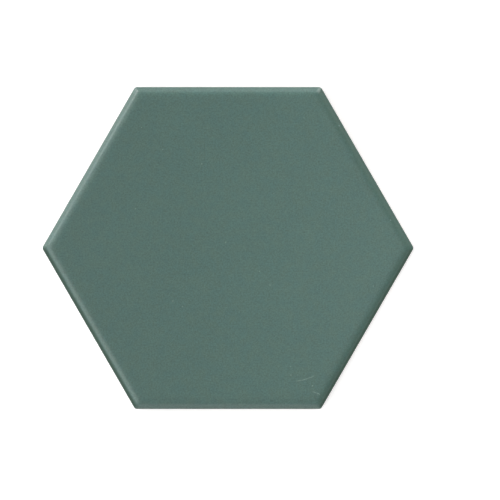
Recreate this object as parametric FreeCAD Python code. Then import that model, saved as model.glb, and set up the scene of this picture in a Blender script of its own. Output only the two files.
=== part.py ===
import FreeCAD, Part
import math
import os

# Hexagon floor tile, in millimetres: one pressed, glazed and fired piece that lies on its keyed back.
# The origin is at the middle of the back, on the level that the tile rests on. X runs from corner to
# corner, Y from side to side, and Z points up through the glazed face.

# The hexagon
across_flats = 150.0
thickness = 9.0
corner_radius = 1.8  # of the six upright corners, seen from above

# The rolled rim of the glazed face. Its curve is level where it leaves the flat face, leans over a steep
# stretch and is upright where it meets the side.
roll_width = 7.5  # from the upright side in to where the face is flat
roll_drop = 3.6  # from the flat face down to where the side is upright
roll_lead = 0.65  # share of the width over which the curve is held level
roll_bend = 0.77  # share of the width at which the steep stretch is reached
roll_brink = 0.7  # share of the drop at which the curve is held upright
mitre_radius = 4.5  # of the roll's corners where they run out into the flat face, seen from above

# The back, keyed with a honeycomb of shallow pockets so that the bedding mortar grips it
back_arris = 0.6  # bevel round the foot of the side
rim_width = 5.0  # plain border outside the pockets
rib_width = 2.2  # between two pockets, at the rib's top that the tile rests on
key_depth = 0.8  # from the ribs' tops to the pockets' floors
key_draft = 30.0  # degrees that a pocket's walls lean off upright, for the press tool to lift out
key_rings = 5  # rings of pockets round the middle one

SIDES = 6
SIXTH = 2 * math.pi / SIDES
HALF_SIXTH = SIXTH / 2
UP = FreeCAD.Vector(0, 0, 1)


def on_circle(radius, angle, height=0.0):
    """A point at a distance and a turn from the tile's upright axis."""
    return FreeCAD.Vector(radius * math.cos(angle), radius * math.sin(angle), height)


def rounded_hexagon(apothem, radius, height):
    """A level hexagon with a corner on +X, each corner an arc of the radius."""
    reach = (apothem - radius) / math.cos(HALF_SIXTH)
    arcs = []
    for corner in range(SIDES):
        turn = corner * SIXTH
        middle = on_circle(reach, turn, height)
        bends = (turn - HALF_SIXTH, turn, turn + HALF_SIXTH)
        arcs.append([middle + on_circle(radius, bend) for bend in bends])
    edges = []
    for arc, following in zip(arcs, arcs[1:] + arcs[:1]):
        edges.append(Part.Arc(*arc).toShape())
        edges.append(Part.LineSegment(arc[-1], following[0]).toShape())
    return Part.Wire(edges)


def sharp_hexagon(apothem, height):
    """A level hexagon with a corner on +Y, so that honeycomb rows run along the tile's sides."""
    reach = apothem / math.cos(HALF_SIXTH)
    corners = [on_circle(reach, (corner + 0.5) * SIXTH, height) for corner in range(SIDES)]
    return Part.makePolygon(corners + corners[:1])


def roll_outline(out, down):
    """Each corner's arc at a place on the roll, as its start, the point where its tangents meet and its
    end. The place is a share of the roll's width outwards and a share of its drop downwards."""
    apothem = across_flats / 2 - roll_width * (1 - out)
    radius = mitre_radius + (corner_radius - mitre_radius) * out
    height = thickness - roll_drop * down
    reach = (apothem - radius) / math.cos(HALF_SIXTH)
    arcs = []
    for corner in range(SIDES):
        turn = corner * SIXTH
        middle = on_circle(reach, turn, height)
        arcs.append([
            middle + on_circle(radius, turn - HALF_SIXTH),
            middle + on_circle(radius / math.cos(HALF_SIXTH), turn),
            middle + on_circle(radius, turn + HALF_SIXTH),
        ])
    return arcs


def patch(rows, weights):
    """A face through one row of poles after another down the roll, with one column for each weight."""
    down, along = len(rows) - 1, len(weights) - 1
    surface = Part.BSplineSurface()
    surface.buildFromPolesMultsKnots(
        rows, [down + 1] * 2, [along + 1] * 2, [0.0, 1.0], [0.0, 1.0],
        False, False, down, along, [weights] * len(rows),
    )
    return surface.toShape()


def rolled_face():
    """The top of the tile: the flat face, the roll's sides and corners, and the level that closes it below."""
    poles = [(0, 0), (roll_lead, 0), (roll_bend, 0), (roll_bend, roll_brink), (1, roll_brink), (1, 1)]
    outlines = [roll_outline(out, down) for out, down in poles]
    flat = rounded_hexagon(across_flats / 2 - roll_width, mitre_radius, thickness)
    foot = rounded_hexagon(across_flats / 2, corner_radius, thickness - roll_drop)
    faces = [Part.Face(flat), Part.Face(foot)]
    for corner in range(SIDES):
        following = (corner + 1) % SIDES
        faces.append(patch([arcs[corner] for arcs in outlines], [1.0, math.cos(HALF_SIXTH), 1.0]))
        faces.append(patch([[arcs[corner][-1], arcs[following][0]] for arcs in outlines], [1.0, 1.0]))
    shell = Part.makeShell(faces)
    shell.sewShape()
    return Part.makeSolid(shell)


def lower_body():
    """The upright part of the tile, from the bevelled foot to where the roll begins."""
    outline = rounded_hexagon(across_flats / 2, corner_radius, 0.0)
    block = Part.Face(outline).extrude(UP * (thickness - roll_drop))
    foot = [edge for edge in block.Edges if edge.BoundBox.ZMax < back_arris / 2]
    return block.makeChamfer(back_arris, foot)


def key_pocket(mouth_apothem):
    """One pocket of the honeycomb, as the plug that leaves it: wide at the back, narrow at its floor."""
    floor_apothem = mouth_apothem - key_depth * math.tan(math.radians(key_draft))
    return Part.makeLoft([sharp_hexagon(mouth_apothem, 0.0), sharp_hexagon(floor_apothem, key_depth)], True, True)


def keying():
    """The plugs of all the pockets. Their pitch fills the back up to the plain border."""
    field = across_flats / 2 - rim_width
    row = math.cos(HALF_SIXTH)
    pitch = (field + rib_width / (2 * row)) / (key_rings * row + 1 / (2 * row))
    plug = key_pocket((pitch - rib_width) / 2)
    plugs = []
    for across in range(-key_rings, key_rings + 1):
        for along in range(-key_rings, key_rings + 1):
            if abs(across + along) <= key_rings:
                place = on_circle(across * pitch, 0.0) + on_circle(along * pitch, SIXTH)
                plugs.append(plug.translated(place))
    return Part.makeCompound(plugs)


def hexagon_tile():
    """The whole tile as one solid."""
    body = lower_body().fuse(rolled_face())
    return body.cut(keying()).removeSplitter()


os.makedirs("parts", exist_ok=True)
tile = hexagon_tile()
tile.exportStep("parts/hexagon_tile.step")
box = tile.BoundBox
print("solids", len(tile.Solids), "faces", len(tile.Faces), "valid", tile.isValid())
print(f"box {box.XLength:.2f} x {box.YLength:.2f} x {box.ZLength:.2f}, volume {tile.Volume:.0f}")
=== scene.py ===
"""Hexagon floor tile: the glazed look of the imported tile, on a plain pale studio floor."""

import math

import bpy
import numpy as np
from bpy.props import FloatProperty, FloatVectorProperty, IntProperty, PointerProperty
from bpy.types import Operator, Panel, PropertyGroup
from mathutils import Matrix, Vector, geometry, noise


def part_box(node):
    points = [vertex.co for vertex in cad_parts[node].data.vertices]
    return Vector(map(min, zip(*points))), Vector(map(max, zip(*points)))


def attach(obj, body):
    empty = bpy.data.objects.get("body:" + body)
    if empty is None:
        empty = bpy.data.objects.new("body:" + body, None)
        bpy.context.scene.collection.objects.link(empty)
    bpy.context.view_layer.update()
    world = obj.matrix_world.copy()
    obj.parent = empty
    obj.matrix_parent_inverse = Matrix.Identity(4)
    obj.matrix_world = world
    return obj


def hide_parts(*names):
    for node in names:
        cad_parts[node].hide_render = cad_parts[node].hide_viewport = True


bl_info = {
    "name": "Hexagon Floor Tile",
    "version": (1, 0, 0),
    "blender": (4, 5, 0),
    "location": "View3D > Sidebar > Tile",
    "description": "Makes a glazed hexagon floor tile with a rolled rim and a honeycomb-keyed back",
    "category": "Object",
}

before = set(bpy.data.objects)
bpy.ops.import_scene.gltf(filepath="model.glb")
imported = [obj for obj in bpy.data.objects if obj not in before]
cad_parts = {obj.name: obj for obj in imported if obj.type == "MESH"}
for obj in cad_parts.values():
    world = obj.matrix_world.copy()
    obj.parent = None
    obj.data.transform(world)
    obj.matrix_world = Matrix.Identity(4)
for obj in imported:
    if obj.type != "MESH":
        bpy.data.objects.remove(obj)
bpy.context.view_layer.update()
tile_low, tile_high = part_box("hexagon_tile")

MM = 0.001
SIDES = 6
SIXTH = 2 * math.pi / SIDES
HALF_SIXTH = SIXTH / 2


# Sizes and colours that a user can change


def length(name, description, millimetres, low=0.0, high=1000.0):
    """A length, given in millimetres and kept in metres."""
    return FloatProperty(
        name=name,
        description=description,
        default=millimetres * MM,
        min=low * MM,
        max=high * MM,
        precision=5,
        subtype="DISTANCE",
        unit="LENGTH",
    )


def share(name, description, value):
    """A number from 0 to 1."""
    return FloatProperty(
        name=name, description=description, default=value, min=0.0, max=1.0, subtype="FACTOR"
    )


def colour(name, description, value):
    """A linear colour."""
    return FloatVectorProperty(
        name=name, description=description, default=value, size=3, min=0.0, max=1.0, subtype="COLOR"
    )


def angle(name, description, degrees):
    """An angle, given in degrees and kept in radians."""
    return FloatProperty(
        name=name, description=description, default=math.radians(degrees), subtype="ANGLE"
    )


def sides(name, description, values):
    """A share for each side of the tile, counter-clockwise, the first one between its X and its Y."""
    return FloatVectorProperty(
        name=name, description=description, default=values, size=SIDES, min=0.0, max=1.0
    )


def number(name, description, value):
    """A plain number over 0."""
    return FloatProperty(name=name, description=description, default=value, min=0.0)


class TileShape(PropertyGroup):
    """Sizes of the tile, as its solid has them, and of the fine shapes that only this mesh has."""

    across_flats: length(
        "Across flats", "From one side to the opposite one", (tile_high.y - tile_low.y) / MM
    )
    thickness: length(
        "Thickness", "From the ribs of the back to the glazed face", (tile_high.z - tile_low.z) / MM
    )
    corner_radius: length("Corner radius", "Radius of the upright corners, seen from above", 1.8)
    roll_width: length("Roll width", "From the side in to where the face is flat", 7.5)
    roll_drop: length("Roll drop", "From the flat face down to where the side is upright", 3.6)
    roll_lead: share("Roll lead", "Share of the width over which the roll's curve is held level", 0.65)
    roll_bend: share("Roll bend", "Share of the width at which the steep stretch is reached", 0.77)
    roll_brink: share("Roll brink", "Share of the drop at which the roll's curve is held upright", 0.7)
    mitre_radius: length("Mitre radius", "Corner radius where the roll meets the flat face", 4.5)
    back_arris: length("Back arris", "Bevel round the foot of the side", 0.6)
    rim_width: length("Rim width", "Plain border of the back", 5.0)
    rib_width: length("Rib width", "Width of the ribs' tops between pockets", 2.2)
    key_depth: length("Key depth", "Depth of the pockets", 0.8)
    key_draft: angle("Key draft", "Lean of the pockets' walls off upright", 30.0)
    key_rings: IntProperty(
        name="Key rings", description="Rings of pockets round the middle one", default=5, min=1
    )
    pocket_corner: length("Pocket corner", "Corner radius of a pocket, seen from below", 1.0)
    pressed_edge: length("Pressed edge", "Softness of the edges that the press tool left in the back", 0.2)
    glaze_line: length("Glaze line", "Mean height on the side at which the glaze ends", 3.2)
    glaze_wander: length("Glaze wander", "How far the glaze line strays up and down", 0.7)
    glaze_skin: length("Glaze skin", "Thickness of the glaze at its lower edge", 0.12)
    # Painted shade: the two shares below darken each side's roll towards the dark glaze colour. The first
    # works over the upper-right and lower-right rolls, and the second at the foot of the lower-left and
    # lower-right rolls, the sides turned from the lamps. This stands in for the shade there, not for glaze
    # that ran or pooled.
    painted_shade_run: sides(
        "Glaze run", "How deep the glaze ran over each side's roll", (0.70, 0.0, 0.0, 0.0, 0.0, 0.68)
    )
    painted_shade_foot: sides(
        "Glaze pool", "How deep it lies at the foot of each side's roll", (0.0, 0.0, 0.0, 0.95, 0.0, 1.0)
    )


class TileFinish(PropertyGroup):
    """Colours and fine marks of the glaze and of the raw clay."""

    glaze: colour("Glaze", "Satin green glaze", (0.061, 0.1242, 0.1097))
    glaze_warm: colour("Warm glaze", "Glaze where it leans to yellow-green", (0.067, 0.1252, 0.1037))
    # Painted shade: the near-black green that the roll's glaze is darkened towards where shade falls on it.
    shaded_glaze: colour("Deep glaze", "Glaze where it lies thicker on the roll", (0.003, 0.034, 0.018))
    speck: colour("Speck", "Pale specks and hairline marks in the glaze", (0.125, 0.195, 0.170))
    clay: colour("Clay", "Raw fired clay of the sides and back", (0.36, 0.29, 0.235))
    clay_dark: colour("Dark clay", "Darker grains of the raw clay", (0.20, 0.155, 0.125))
    wash: colour("Kiln wash", "Chalky traces on the ribs", (0.62, 0.58, 0.53))
    grain: length("Grain", "Size of the glaze's finest mottling", 0.7)
    grain_depth: share("Grain contrast", "How much the finest mottling changes the glaze's tone", 0.64)
    drift: length("Drift", "Size of the glaze's patches of warmer and cooler green", 3.5)
    cloud: length("Cloud", "Size of the glaze's broad tone changes", 22.0)
    cloud_depth: share("Cloud contrast", "How much the broad tones differ", 0.05)
    speck_spacing: length("Speck spacing", "Usual distance between random pale specks", 9.0)
    speck_size: length("Speck size", "Radius of the largest random pale specks", 0.28)
    pit_spacing: length("Pit spacing", "Usual distance between the glaze's small dark pits", 5.0)
    pit_size: length("Pit size", "Radius of the largest dark pits", 0.42)
    pit_depth: share("Pit darkness", "How much a pit darkens the glaze", 0.22)
    ripple: length("Ripple", "Size of the glaze's ripples", 0.8)
    ripple_height: length("Ripple height", "Height of the glaze's ripples", 0.012)
    glaze_roughness: share("Glaze roughness", "How far the satin glaze spreads its shine", 0.40)
    clay_grit: length("Clay grit", "Size of the raw clay's grit", 0.35)
    clay_grit_height: length("Clay grit height", "Height of the raw clay's grit", 0.10)
    clay_roughness: share("Clay roughness", "How far the raw clay spreads its shine", 0.92)


class StudioLook(PropertyGroup):
    """The floor, lamps and camera round the tile. Turns go from the tile's X towards its Y, and rises up
    from the horizon."""

    floor: colour("Floor", "Pale floor", (0.80, 0.80, 0.80))
    floor_lift: share("Floor lift", "Added to the floor's tone in the picture, so that it is white", 0.5)
    gloss_lift: share("Gloss lift", "Added to the floor's tone in what a gloss mirrors of it", 0.2)
    sky: share("Sky", "Strength of the even light from all round", 0.10)
    under_sky: share("Light from below", "Strength of the light on the back, from under the floor", 0.85)
    lamp_distance: length("Lamp distance", "From the tile to each lamp round it", 4000.0, high=5000.0)
    window_turn: angle("Window turn", "Direction of the low window", 133)
    window_rise: angle("Window rise", "Height of the window's middle", 5.0)
    window_across: angle("Window across", "How wide the window looks from the tile", 42.0)
    window_tall: angle("Window tall", "How tall the window looks from the tile", 12.6)
    window_level: number("Window brightness", "Brightness of the window beside a white surface", 15.0)
    strip_turn: angle("Strip turn", "Direction of the low strip of light", 63.5)
    strip_rise: angle("Strip rise", "Height of the strip's middle", 3.6)
    strip_across: angle("Strip across", "How wide the strip looks from the tile", 35.3)
    strip_tall: angle("Strip tall", "How tall the strip looks from the tile", 5.1)
    strip_level: number("Strip brightness", "Brightness of the strip beside a white surface", 28.3)
    front_turn: angle("Front turn", "Direction of the dim strip at the front", 270.0)
    front_rise: angle("Front rise", "Height of the front strip's middle", 5.0)
    front_across: angle("Front across", "How wide the front strip looks from the tile", 50.0)
    front_tall: angle("Front tall", "How tall the front strip looks from the tile", 10.0)
    front_level: number("Front brightness", "Brightness of the front strip beside a white surface", 2.6)
    card_turn: angle("Card turn", "Direction of the large dim card", 192)
    card_rise: angle("Card rise", "Height of the card's middle", 36.8)
    card_across: angle("Card across", "How wide the card looks from the tile", 62.2)
    card_tall: angle("Card tall", "How tall the card looks from the tile", 53.9)
    card_level: number("Card brightness", "Brightness of the card beside a white surface", 2.55)
    right_turn: angle("Right turn", "Direction of the low lamp at the right", 18.0)
    right_rise: angle("Right rise", "Height of the right lamp's middle", 5.0)
    right_across: angle("Right across", "How wide the right lamp looks from the tile", 40.0)
    right_tall: angle("Right tall", "How tall the right lamp looks from the tile", 10.0)
    right_level: number("Right brightness", "Brightness of the right lamp beside a white surface", 16.8)
    key_turn: angle("Key turn", "Direction of the high lamp", 150.0)
    key_rise: angle("Key rise", "Height of the high lamp's middle", 79.0)
    key_across: angle("Key across", "How wide the high lamp looks from the tile", 6.0)
    key_tall: angle("Key tall", "How tall the high lamp looks from the tile", 6.0)
    key_level: number("Key brightness", "Brightness of the high lamp beside a white surface", 37.0)
    panel_x: length("Panel X", "Where the level panel's middle is along the tile's X", 150.0, low=-2000.0)
    panel_height: length("Panel height", "Height of the panel above the floor", 180.0)
    panel_size: length("Panel size", "Side of the square panel", 200)
    panel_level: number("Panel brightness", "Brightness of the panel beside a white surface", 1.15)
    picture_width: length("Picture width", "What the picture takes in at the tile's widest level", 232.9)
    camera_height: length(
        "Camera height", "Height of the camera over the tile's widest level", 1200.0, high=5000.0
    )
    aim_x: length("Aim X", "Where the picture's middle lies along the tile's X", 10.25, low=-100.0)
    aim_y: length("Aim Y", "Where the picture's middle lies along the tile's Y", -0.93, low=-100.0)


# Outlines

ARC_STEPS = 10
SIDE_STEPS = 44


def outline(apothem, radius, arc_steps=ARC_STEPS, side_steps=SIDE_STEPS, turned=0.0):
    """Points round a hexagon with rounded corners, the first corner on +X unless it is turned."""
    reach = (apothem - radius) / math.cos(HALF_SIXTH)
    points = []
    starts = []
    for corner in range(SIDES):
        turn = turned + corner * SIXTH
        bends = turn - HALF_SIXTH + SIXTH * np.arange(arc_steps + 1) / arc_steps
        middle = reach * np.array([math.cos(turn), math.sin(turn)])
        starts.append(middle + radius * np.stack([np.cos(bends), np.sin(bends)], axis=1))
    for arc, following in zip(starts, starts[1:] + starts[:1]):
        along = np.arange(1, side_steps)[:, None] / side_steps
        points += [arc, arc[-1] + (following[0] - arc[-1]) * along]
    return np.concatenate(points)


def facing():
    """The direction that each point of an outline faces, as an angle from the tile's X."""
    turns = []
    for corner in range(SIDES):
        bends = corner * SIXTH - HALF_SIXTH + SIXTH * np.arange(ARC_STEPS + 1) / ARC_STEPS
        turns += [bends, np.full(SIDE_STEPS - 1, bends[-1])]
    return np.concatenate(turns)


def by_side(values):
    """A value for each point of an outline from one for each side, passing over from side to side at the
    corners."""
    middles = (np.arange(SIDES) + 0.5) * SIXTH
    return np.interp(facing(), middles, values, period=2 * math.pi)


def lifted(flat, height):
    """Flat points at a height, which is one number or one for each point."""
    return np.column_stack([flat, np.broadcast_to(height, len(flat))])


def bezier(poles, steps):
    """Points along a curve through its first and last poles."""
    t = np.linspace(0.0, 1.0, steps)[:, None]
    degree = len(poles) - 1
    return sum(
        math.comb(degree, i) * (1 - t) ** (degree - i) * t**i * np.array(pole)
        for i, pole in enumerate(poles)
    )


def smooth(value, low, high):
    """0 under low, 1 over high, and a soft step between them."""
    t = min(1.0, max(0.0, (value - low) / (high - low)))
    return t * t * (3 - 2 * t)


def wander(x, y, size, seed):
    """A smooth random number from -1 to 1 at a place, the same at every run."""
    return noise.noise(Vector((x / size, y / size, seed)))


class MeshMaker:
    """Collects rings of points, the faces between them, and each point's cover of glaze and share of painted
    shade.
    """

    def __init__(self):
        self.points = []
        self.faces = []
        self.glaze = []
        self.deep = []

    def add(self, points, glaze=0.0, deep=0.0):
        """Adds points, with their cover of glaze and their share of painted shade (deep), and returns their
        numbers.
        """
        first = len(self.points)
        self.points += [tuple(p) for p in points]
        self.glaze += list(np.broadcast_to(glaze, len(points)))
        self.deep += list(np.broadcast_to(deep, len(points)))
        return list(range(first, len(self.points)))

    def bridge(self, inner, outer):
        """Joins two rings with the same number of points, facing up where the outer one is wider."""
        for i in range(len(inner)):
            j = (i + 1) % len(inner)
            self.faces.append((inner[i], outer[i], outer[j], inner[j]))

    def cap(self, ring, middle):
        """Closes a ring with triangles to one point."""
        for i in range(len(ring)):
            self.faces.append((middle, ring[i], ring[(i + 1) % len(ring)]))

    def make(self, name):
        """The object, smoothly shaded."""
        mesh = bpy.data.meshes.new(name)
        mesh.from_pydata(self.points, [], self.faces)
        # The second layer holds each point's share of painted shade.
        for label, values in (("glaze_cover", self.glaze), ("painted_shade", self.deep)):
            layer = mesh.attributes.new(label, "FLOAT", "POINT")
            layer.data.foreach_set("value", np.array(values, np.float32))
        mesh.shade_smooth()
        mesh.update()
        piece = bpy.data.objects.new(name, mesh)
        bpy.context.scene.collection.objects.link(piece)
        return piece


# The tile's mesh

FACE_RINGS = 22
ROLL_RINGS = 34
POCKET_ARC_STEPS = 4
POCKET_SIDE_STEPS = 2

# Shares of the roll's width over which the painted shade sets in, over the roll and at its foot
SHADE_RUN_STRETCH = (0.28, 0.92)
SHADE_FOOT_STRETCH = (0.70, 0.87)
SHADE_UNDER_ROLL = 0.6  # share of the roll's painted shade that the side below it keeps

# The waves and drips of the glaze's lower edge
WAVE_SIZE = 19 * MM
WAVE_SHARE = 0.8
DRIP_SIZE = 4.5 * MM
DRIP_SHARE = 0.45


def roll_rings(shape):
    """Rings of the rolled rim from the flat face out to the side, with each ring's share of painted shade.
    """
    lead, bend, brink = shape.roll_lead, shape.roll_bend, shape.roll_brink
    poles = [(0, 0), (lead, 0), (bend, 0), (bend, brink), (1, brink), (1, 1)]
    # Painted shade: how far each point is darkened on the rolls turned from the lamps, most towards the
    # roll's outer edge.
    run, pool = by_side(shape.painted_shade_run), by_side(shape.painted_shade_foot)
    rings = []
    for out, down in bezier(poles, ROLL_RINGS):
        apothem = shape.across_flats / 2 - shape.roll_width * (1 - out)
        radius = shape.mitre_radius + (shape.corner_radius - shape.mitre_radius) * out
        height = shape.thickness - shape.roll_drop * down
        deep = np.maximum(smooth(out, *SHADE_RUN_STRETCH) * run, smooth(out, *SHADE_FOOT_STRETCH) * pool)
        rings.append((lifted(outline(apothem, radius), height), deep))
    return rings


def glazed_top(maker, shape):
    """The flat face and the roll. Returns the roll's lowest ring."""
    flat_apothem = shape.across_flats / 2 - shape.roll_width
    middle = maker.add([(0.0, 0.0, shape.thickness)], glaze=1.0)[0]
    ring = None
    for step in range(1, FACE_RINGS):
        size = step / FACE_RINGS
        points = outline(flat_apothem * size, shape.mitre_radius * size)
        following = maker.add(lifted(points, shape.thickness), glaze=1.0)
        if ring:
            maker.bridge(ring, following)
        else:
            maker.cap(following, middle)
        ring = following
    for points, deep in roll_rings(shape):
        following = maker.add(points, glaze=1.0, deep=deep)
        maker.bridge(ring, following)
        ring = following
    return ring


def glaze_line_heights(shape, ring):
    """Height at which the glaze ends, for each point round the side: slow waves with small drips."""
    heights = []
    for x, y in ring:
        wave = wander(x, y, WAVE_SIZE, seed=3.1)
        drip = wander(x, y, DRIP_SIZE, seed=7.7)
        stray = WAVE_SHARE * wave + DRIP_SHARE * drip
        heights.append(shape.glaze_line + shape.glaze_wander * stray)
    return np.array(heights)


def side(maker, shape, ring):
    """The upright side: glaze down to its wandering lower edge, then raw clay to the bevelled foot. Each row
    gives an apothem, a height, the cover of glaze and the share of painted shade. Returns the ring on the
    back's level."""
    widest = shape.across_flats / 2
    top = shape.thickness - shape.roll_drop
    skin = shape.glaze_skin
    arris = shape.back_arris
    line = glaze_line_heights(shape, outline(widest, shape.corner_radius))
    clay = widest - skin
    roll_shade = np.maximum(by_side(shape.painted_shade_run), by_side(shape.painted_shade_foot))
    # Painted shade: the glaze on the side under a roll keeps part of that roll's painted shade. The glaze's
    # lower edge is darkened by half towards the same dark colour all round.
    glaze_rows = [
        (widest, (top + line) / 2, 1.0, SHADE_UNDER_ROLL * roll_shade),
        (widest, line + 0.35 * MM, 1.0, 0.1),
        (widest - 0.25 * skin, line + 0.12 * MM, 1.0, 0.5),
        (widest - 0.75 * skin, line, 1.0, 0.5),
    ]
    clay_rows = [
        (clay, line - 0.05 * MM, 0.0, 0.0),
        (clay, line - 0.3 * MM, 0.0, 0.0),
        (clay, (line + arris) / 2, 0.0, 0.0),
        (clay, arris + 0.15 * MM, 0.0, 0.0),
    ]
    bevel_rows = [
        (clay - 0.04 * MM, arris - 0.02 * MM, 0.0, 0.0),
        (clay - 0.45 * arris, 0.42 * arris, 0.0, 0.0),
        (widest - arris - 0.06 * MM, 0.05 * MM, 0.0, 0.0),
        (widest - arris - 0.25 * MM, 0.0, 0.0, 0.0),
        (widest - arris - 0.6 * MM, 0.0, 0.0, 0.0),
    ]
    for apothem, height, glaze, deep in glaze_rows + clay_rows + bevel_rows:
        radius = shape.corner_radius - (widest - apothem) / 2
        following = maker.add(lifted(outline(apothem, radius), height), glaze=glaze, deep=deep)
        maker.bridge(ring, following)
        ring = following
    return ring


def pocket_places(shape):
    """The middles of the pockets, and the half width of a pocket's mouth."""
    field = shape.across_flats / 2 - shape.rim_width
    row = math.cos(HALF_SIXTH)
    pitch = (field + shape.rib_width / (2 * row)) / (shape.key_rings * row + 1 / (2 * row))
    across = np.array([pitch, 0.0])
    along = pitch * np.array([math.cos(SIXTH), math.sin(SIXTH)])
    reach = range(-shape.key_rings, shape.key_rings + 1)
    places = [i * across + j * along for i in reach for j in reach if abs(i + j) <= shape.key_rings]
    return places, (pitch - shape.rib_width) / 2


def pocket(maker, shape, place, mouth):
    """One pocket of the back, in rows from the ribs' tops over its softened mouth and down its drafted wall
    to its floor. Returns the ring round its mouth, which lies on the ribs' tops."""
    soft = shape.pressed_edge
    lean = math.tan(shape.key_draft)
    depth = shape.key_depth
    rows = [
        (mouth + 1.6 * soft, 0.0),
        (mouth + 0.8 * soft, 0.0),
        (mouth + 0.25 * soft, 0.18 * soft),
        (mouth - 0.1 * soft, 0.6 * soft),
        (mouth - (depth - 0.8 * soft) * lean, depth - 0.8 * soft),
        (mouth - depth * lean - 0.1 * soft, depth - 0.15 * soft),
        (mouth - depth * lean - 0.7 * soft, depth),
        (mouth - depth * lean - 2.0 * soft, depth),
    ]
    rings = []
    for apothem, height in rows:
        radius = shape.pocket_corner - (mouth - apothem) / 2
        points = place + outline(apothem, radius, POCKET_ARC_STEPS, POCKET_SIDE_STEPS, HALF_SIXTH)
        rings.append(maker.add(lifted(points, height)))
    for outer, inner in zip(rings, rings[1:]):
        maker.bridge(outer, inner)
    middle = maker.add([(place[0], place[1], depth)])[0]
    maker.cap(rings[-1][::-1], middle)
    return rings[0]


def ribs(maker, border, mouths):
    """The level tops of the ribs and the border, between the tile's outline and the pockets' mouths."""
    corners, loop_of, edges = [], [], []
    for loop_number, loop in enumerate([border] + mouths):
        first = len(corners)
        corners += loop
        loop_of += [loop_number] * len(loop)
        edges += [(first + i, first + (i + 1) % len(loop)) for i in range(len(loop))]
    flat = [Vector(maker.points[number][:2]) for number in corners]
    within_edges = 1
    closest = 1e-9
    for triangle in geometry.delaunay_2d_cdt(flat, edges, [], within_edges, closest)[2]:
        loops = {loop_of[i] for i in triangle}
        if loops == {0} or len(loops) > 1:
            maker.faces.append(tuple(corners[i] for i in reversed(triangle)))


def tile_mesh(shape):
    """The whole tile as one closed mesh."""
    maker = MeshMaker()
    foot = side(maker, shape, glazed_top(maker, shape))
    places, mouth = pocket_places(shape)
    mouths = [pocket(maker, shape, place, mouth) for place in places]
    ribs(maker, foot, mouths)
    return maker.make("glazed_tile")


# Glaze and clay

SHINE_PATCH = 1.4 * MM  # size of the glaze's duller and shinier patches
SHINE_SPREAD = 0.10  # how far their roughness differs
CLAY_GRAIN = 0.5 * MM
CLAY_BLOTCH = 11 * MM
WASH_PATCH = 5 * MM
WASH_LEVEL = 0.10 * MM  # above the ribs' tops, where the kiln wash ends
WASH_DEPTH = 0.6

# Pale hairs in the glaze, as points along each, and single pale specks with their radii, all in
# millimetres on the face.
HAIRS = [
    [
        (31.5, -61.9), (33.2, -61.6), (34.8, -61.3), (36.7, -60.7),
        (38.6, -60.1), (39.8, -59.5), (40.4, -58.9),
    ],
    [(39.1, -66.6), (40.9, -67.3), (42.1, -67.7), (43.1, -68.3)],
]
SPECKS = [
    (-12.1, 39.1, 0.35), (-42.9, 18.2, 0.30), (51.7, 56.8, 0.28), (75.5, 13.0, 0.30),
    (67.5, -17.7, 0.28), (19.6, -17.2, 0.30), (-25.6, -24.7, 0.42), (-30.3, 45.7, 0.26),
    (-40.1, 55.9, 0.28), (39.3, -64.0, 0.36), (29.3, -59.0, 0.31), (29.1, -55.1, 0.24),
    (-1.0, 2.6, 0.28), (14.6, -10.8, 0.30), (-21.1, -27.2, 0.30),
]
HAIR_WIDTH = 0.34 * MM
SPECK_EDGE = 1.5  # share of a speck's radius at which it ends
SPECK_CORE = 0.4  # share within which it is strongest


class Nodes:
    """Adds nodes to a material or a world, each call giving the new node's output."""

    def __init__(self, tree):
        self.tree = tree
        self.tree.nodes.clear()

    def add(self, kind, *values, output=0, named=None, **settings):
        """Adds a node. The values go to its inputs in order and the named ones by name: numbers and colours
        are set there, and outputs of other nodes are linked."""
        node = self.tree.nodes.new(kind)
        for setting, value in settings.items():
            setattr(node, setting, value)
        sockets = list(zip(node.inputs, values))
        sockets += [(node.inputs[key], value) for key, value in (named or {}).items()]
        for socket, value in sockets:
            if isinstance(value, bpy.types.NodeSocket):
                self.tree.links.new(value, socket)
            else:
                socket.default_value = value
        return node.outputs[output]

    def finish(self, kind, shader):
        """Adds the output node that a shader goes to."""
        self.tree.links.new(shader, self.tree.nodes.new(kind).inputs[0])

    def math(self, operation, *values, clamp=False):
        """A sum on numbers, kept from 0 to 1 if it is clamped."""
        return self.add("ShaderNodeMath", *values, operation=operation, use_clamp=clamp)

    def vector(self, operation, *values):
        """A sum on vectors."""
        result = 1 if operation in ("DOT_PRODUCT", "DISTANCE") else 0
        return self.add("ShaderNodeVectorMath", *values, operation=operation, output=result)

    def scaled(self, vector, factor):
        """A vector or a colour times a number."""
        return self.add("ShaderNodeVectorMath", vector, named={"Scale": factor}, operation="SCALE")

    def noise(self, place, size, detail=2.0, roughness=0.5):
        """Smooth mottling about 0.5, of a size in metres."""
        named = {"Vector": place, "Scale": 1 / size, "Detail": detail, "Roughness": roughness}
        return self.add("ShaderNodeTexNoise", named=named)

    def specks(self, place, spacing, size):
        """Random spots, 1 in the middle of each, at about a spacing from one another in every direction."""
        cells = self.add("ShaderNodeTexVoronoi", named={"Vector": place, "Scale": 1 / spacing})
        return self.step(self.math("MULTIPLY", cells, spacing), size, SPECK_CORE * size)

    def step(self, value, low, high):
        """0 where a value is at low, 1 where it is at high or past it, and a soft step between."""
        return self.add("ShaderNodeMapRange", value, low, high, 0.0, 1.0, interpolation_type="SMOOTHSTEP")

    def between(self, factor, first, second):
        """One number passing into another as the factor goes from 0 to 1."""
        return self.add("ShaderNodeMix", factor, named={2: first, 3: second})

    def blend(self, factor, first, second):
        """One colour passing into another as the factor goes from 0 to 1."""
        return self.add("ShaderNodeMix", factor, named={6: first, 7: second}, output=2, data_type="RGBA")

    def attribute(self, name):
        """A number that the mesh holds for each point."""
        return self.add("ShaderNodeAttribute", attribute_name=name, output=2)


def opaque(linear):
    """A colour with its alpha."""
    return (*linear, 1.0)


def face_point(x, y):
    """A place on the face, from its millimetres."""
    return Vector((x * MM, y * MM, 0.0))


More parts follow.
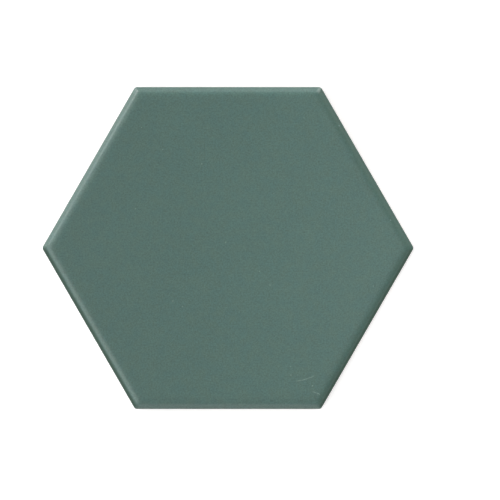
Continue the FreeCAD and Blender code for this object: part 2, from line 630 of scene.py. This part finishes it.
def hair(nodes, place, points):
    """How strongly a place is on a hair through the points, which fades out towards its ends."""
    nearest = None
    for start, end in zip(points, points[1:]):
        start, end = face_point(*start), face_point(*end)
        run = end - start
        from_start = nodes.vector("SUBTRACT", place, start)
        along = nodes.vector("DOT_PRODUCT", from_start, run / run.length_squared)
        along = nodes.math("MULTIPLY", along, 1.0, clamp=True)
        off = nodes.vector("DISTANCE", from_start, nodes.scaled(run, along))
        nearest = off if nearest is None else nodes.math("MINIMUM", nearest, off)
    first, last = face_point(*points[0]), face_point(*points[-1])
    reach = (last - first).length / 2
    from_middle = nodes.vector("DISTANCE", place, (first + last) / 2)
    taper = nodes.step(from_middle, 1.05 * reach, 0.7 * reach)
    return nodes.math("MULTIPLY", taper, nodes.step(nearest, HAIR_WIDTH, 0.25 * HAIR_WIDTH))


def pale_marks(nodes, place, finish):
    """How strongly a place is pale: the hairs and specks on the face, and small random specks all over."""
    on_face = nodes.vector("MULTIPLY", place, (1.0, 1.0, 0.0))
    marks = [hair(nodes, on_face, points) for points in HAIRS]
    for x, y, radius in SPECKS:
        off = nodes.vector("DISTANCE", on_face, face_point(x, y))
        marks.append(nodes.step(off, radius * SPECK_EDGE * MM, radius * SPECK_CORE * MM))
    marks.append(nodes.specks(place, finish.speck_spacing, finish.speck_size))
    strongest = marks[0]
    for mark in marks[1:]:
        strongest = nodes.math("MAXIMUM", strongest, mark)
    return strongest


def glaze_colour(nodes, place, finish):
    """Green glaze: fine mottling, broad tones, small dark pits, patches of hue, painted shade darkening the
    rolls turned from the lamps, and the pale marks."""
    fine = nodes.noise(place, finish.grain, detail=3.0, roughness=0.65)
    broad = nodes.noise(place, finish.cloud, detail=3.0)
    pits = nodes.specks(place, finish.pit_spacing, finish.pit_size)
    tone = nodes.math("MULTIPLY_ADD", nodes.math("SUBTRACT", fine, 0.5), 2 * finish.grain_depth, 1.0)
    tone = nodes.math("MULTIPLY_ADD", nodes.math("SUBTRACT", broad, 0.5), 2 * finish.cloud_depth, tone)
    tone = nodes.math("MULTIPLY_ADD", pits, -finish.pit_depth, tone)
    warmth = nodes.step(nodes.noise(place, finish.drift, detail=3.0), low=0.25, high=0.75)
    base = nodes.blend(warmth, opaque(finish.glaze), opaque(finish.glaze_warm))
    # Painted shade: darkens the glaze towards the near-black green where the mesh gives a share of painted
    # shade.
    base = nodes.blend(nodes.attribute("painted_shade"), base, opaque(finish.shaded_glaze))
    marked = nodes.blend(pale_marks(nodes, place, finish), base, opaque(finish.speck))
    return nodes.scaled(marked, tone)


def clay_colour(nodes, place, finish):
    """Raw clay: warm and grainy, with darker grains and a chalky wash on the tops of the ribs."""
    grain = nodes.noise(place, CLAY_GRAIN, detail=4.0, roughness=0.7)
    blotches = nodes.noise(place, CLAY_BLOTCH, detail=3.0, roughness=0.6)
    mixed = nodes.math("MULTIPLY_ADD", blotches, 0.6, nodes.math("MULTIPLY", grain, 0.5))
    lightness = nodes.step(mixed, low=0.38, high=0.72)
    base = nodes.blend(lightness, opaque(finish.clay_dark), opaque(finish.clay))
    height = nodes.add("ShaderNodeSeparateXYZ", place, output=2)
    on_ribs = nodes.step(height, WASH_LEVEL, 0.2 * WASH_LEVEL)
    patches = nodes.noise(place, WASH_PATCH, detail=4.0, roughness=0.65)
    wash = nodes.math("MULTIPLY", on_ribs, nodes.step(patches, low=0.42, high=0.62))
    return nodes.blend(nodes.math("MULTIPLY", wash, WASH_DEPTH), base, opaque(finish.wash))


def tile_material(finish):
    """Satin glaze over raw clay in one material, the glaze lying where the mesh's glaze_cover is 1."""
    material = bpy.data.materials.new("green_glaze_on_clay")
    material.use_nodes = True
    nodes = Nodes(material.node_tree)
    place = nodes.add("ShaderNodeTexCoord", output=3)
    cover = nodes.step(nodes.attribute("glaze_cover"), low=0.35, high=0.65)

    patches = nodes.noise(place, SHINE_PATCH, detail=3.0)
    shine = nodes.math("MULTIPLY_ADD", patches, SHINE_SPREAD, finish.glaze_roughness - SHINE_SPREAD / 2)
    roughness = nodes.between(cover, finish.clay_roughness, shine)
    colours = nodes.blend(cover, clay_colour(nodes, place, finish), glaze_colour(nodes, place, finish))

    ripples = nodes.math("MULTIPLY", nodes.noise(place, finish.ripple), finish.ripple_height)
    grit = nodes.noise(place, finish.clay_grit, detail=4.0, roughness=0.7)
    grit = nodes.math("MULTIPLY", grit, finish.clay_grit_height)
    height = nodes.between(cover, grit, ripples)
    bump = nodes.add("ShaderNodeBump", named={"Strength": 1.0, "Distance": 1.0, "Height": height})

    shader = nodes.add(
        "ShaderNodeBsdfPrincipled",
        named={"Base Color": colours, "Roughness": roughness, "Normal": bump, "IOR": 1.5},
    )
    nodes.finish("ShaderNodeOutputMaterial", shader)
    return material


# Stage

WHITE = (1.0, 1.0, 1.0, 1.0)
FLOOR_REACH = 3.0  # metres from the tile to the floor's edge
FLOOR_ARC_STEPS = 6
FLOOR_SIDE_STEPS = 1
SENSOR_WIDTH = 36.0  # millimetres
FAR_LAMPS = ("window", "strip", "front", "card", "right", "key")
NOT_IN_GLOSS = ("right", "key")


def seen_by(nodes):
    """1 for what the camera sees itself, and 1 for what it sees in a gloss or through glass."""
    rays = nodes.tree.nodes.new("ShaderNodeLightPath").outputs
    in_gloss = nodes.math("MAXIMUM", rays["Is Glossy Ray"], rays["Is Transmission Ray"])
    return rays["Is Camera Ray"], in_gloss


def floor_material(look):
    """Pale floor. It looks white where it is open, keeps the tile's shadow and doesn't show from below."""
    material = bpy.data.materials.new("pale_floor")
    material.use_nodes = True
    nodes = Nodes(material.node_tree)
    paint = nodes.add("ShaderNodeBsdfDiffuse", opaque(look.floor))
    camera, in_gloss = seen_by(nodes)
    lift = nodes.between(in_gloss, nodes.math("MULTIPLY", camera, look.floor_lift), look.gloss_lift)
    glow = nodes.add("ShaderNodeEmission", WHITE, lift)
    top = nodes.add("ShaderNodeAddShader", paint, glow)
    underneath = nodes.add("ShaderNodeNewGeometry", output=6)
    clear = nodes.add("ShaderNodeBsdfTransparent")
    nodes.finish("ShaderNodeOutputMaterial", nodes.add("ShaderNodeMixShader", underneath, top, clear))
    return material


def make_floor(look, shape):
    """A wide level floor for the tile to lie on, open under the tile so that its back shows from below."""
    opening = shape.across_flats / 2 - shape.back_arris
    inner, outer = (
        lifted(outline(apothem, shape.corner_radius, FLOOR_ARC_STEPS, FLOOR_SIDE_STEPS), 0.0)
        for apothem in (opening, FLOOR_REACH)
    )
    maker = MeshMaker()
    maker.bridge(maker.add(inner), maker.add(outer))
    floor = maker.make("floor")
    floor.data.materials.append(floor_material(look))


def make_world(look):
    """Even light from all round, behind a background that looks white."""
    world = bpy.data.worlds.new("studio")
    world.use_nodes = True
    nodes = Nodes(world.node_tree)
    direction = nodes.add("ShaderNodeTexCoord")
    height = nodes.add("ShaderNodeSeparateXYZ", direction, output=2)
    light = nodes.between(nodes.math("LESS_THAN", height, 0.0), look.sky, look.under_sky)
    level = nodes.between(nodes.math("MAXIMUM", *seen_by(nodes)), light, 1.0)
    nodes.finish("ShaderNodeOutputWorld", nodes.add("ShaderNodeBackground", WHITE, level))
    bpy.context.scene.world = world


def make_lamp(name, place, aim, width, height, brightness, shows_in_gloss):
    """A soft flat lamp at a place, shining along its aim. A brightness of 1 is that of a white surface."""
    light = bpy.data.lights.new(name, "AREA")
    light.shape = "RECTANGLE"
    light.size = width
    light.size_y = height
    light.energy = math.pi * width * height * brightness
    lamp = bpy.data.objects.new(name, light)
    lamp.location = place
    lamp.rotation_euler = aim.to_track_quat("-Z", "Y").to_euler()
    lamp.visible_camera = False
    lamp.visible_glossy = shows_in_gloss
    bpy.context.scene.collection.objects.link(lamp)


def make_far_lamp(name, look):
    """A lamp that shines on the tile from far off, given by how it looks from there."""
    parts = ("turn", "rise", "across", "tall", "level")
    turn, rise, across, tall, level = (getattr(look, f"{name}_{part}") for part in parts)
    distance = look.lamp_distance
    towards = Vector((math.cos(rise) * math.cos(turn), math.cos(rise) * math.sin(turn), math.sin(rise)))
    width, height = (2 * distance * math.tan(view / 2) for view in (across, tall))
    make_lamp(name, distance * towards, -towards, width, height, level, name not in NOT_IN_GLOSS)


def make_panel(look):
    """A level square lamp near the tile, which shines down on it and shows in no gloss."""
    above = Vector((look.panel_x, 0.0, look.panel_height))
    down = Vector((0.0, 0.0, -1.0))
    width = look.panel_size
    make_lamp("panel", above, down, width, width, look.panel_level, shows_in_gloss=False)


def make_camera(look, shape):
    """Looks straight down on the tile, with the tile's Y up the picture."""
    widest_level = shape.thickness - shape.roll_drop
    lens = bpy.data.cameras.new("camera")
    lens.sensor_width = SENSOR_WIDTH
    lens.lens = SENSOR_WIDTH * look.camera_height / look.picture_width
    camera = bpy.data.objects.new("camera", lens)
    camera.location = (look.aim_x, look.aim_y, widest_level + look.camera_height)
    bpy.context.scene.collection.objects.link(camera)
    bpy.context.scene.camera = camera


# Operators and panel


class TILE_OT_make_tile(Operator):
    """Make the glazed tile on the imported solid's place"""

    bl_idname = "tile.make_tile"
    bl_label = "Glazed Tile"

    def execute(self, context):
        tile = tile_mesh(context.scene.tile_shape)
        tile.data.materials.append(tile_material(context.scene.tile_finish))
        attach(tile, "root")
        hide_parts("hexagon_tile")
        return {"FINISHED"}


class TILE_OT_make_stage(Operator):
    """Make the floor, the background, the lamps and the camera"""

    bl_idname = "tile.make_stage"
    bl_label = "Floor, Lamps and Camera"

    def execute(self, context):
        look = context.scene.studio_look
        shape = context.scene.tile_shape
        make_floor(look, shape)
        make_world(look)
        for name in FAR_LAMPS:
            make_far_lamp(name, look)
        make_panel(look)
        make_camera(look, shape)
        context.scene.view_settings.view_transform = "Standard"
        return {"FINISHED"}


class TILE_PT_panel(Panel):
    """Lists the steps and the sizes and colours behind them"""

    bl_idname = "TILE_PT_panel"
    bl_label = "Hexagon Floor Tile"
    bl_space_type = "VIEW_3D"
    bl_region_type = "UI"
    bl_category = "Tile"

    def draw(self, context):
        scene = context.scene
        for operator, group in (
            (TILE_OT_make_tile, scene.tile_shape),
            (None, scene.tile_finish),
            (TILE_OT_make_stage, scene.studio_look),
        ):
            if operator:
                self.layout.operator(operator.bl_idname)
            box = self.layout.box()
            for name in group.bl_rna.properties.keys():
                if name not in ("rna_type", "name"):
                    box.prop(group, name)


GROUPS = {"tile_shape": TileShape, "tile_finish": TileFinish, "studio_look": StudioLook}
CLASSES = (*GROUPS.values(), TILE_OT_make_tile, TILE_OT_make_stage, TILE_PT_panel)


def register():
    for cls in CLASSES:
        bpy.utils.register_class(cls)
    for name, group in GROUPS.items():
        setattr(bpy.types.Scene, name, PointerProperty(type=group))


def unregister():
    for name in GROUPS:
        delattr(bpy.types.Scene, name)
    for cls in reversed(CLASSES):
        bpy.utils.unregister_class(cls)


def main():
    """Makes the tile and its stage."""
    register()
    bpy.ops.tile.make_tile()
    bpy.ops.tile.make_stage()


if __name__ == "__main__":
    main()
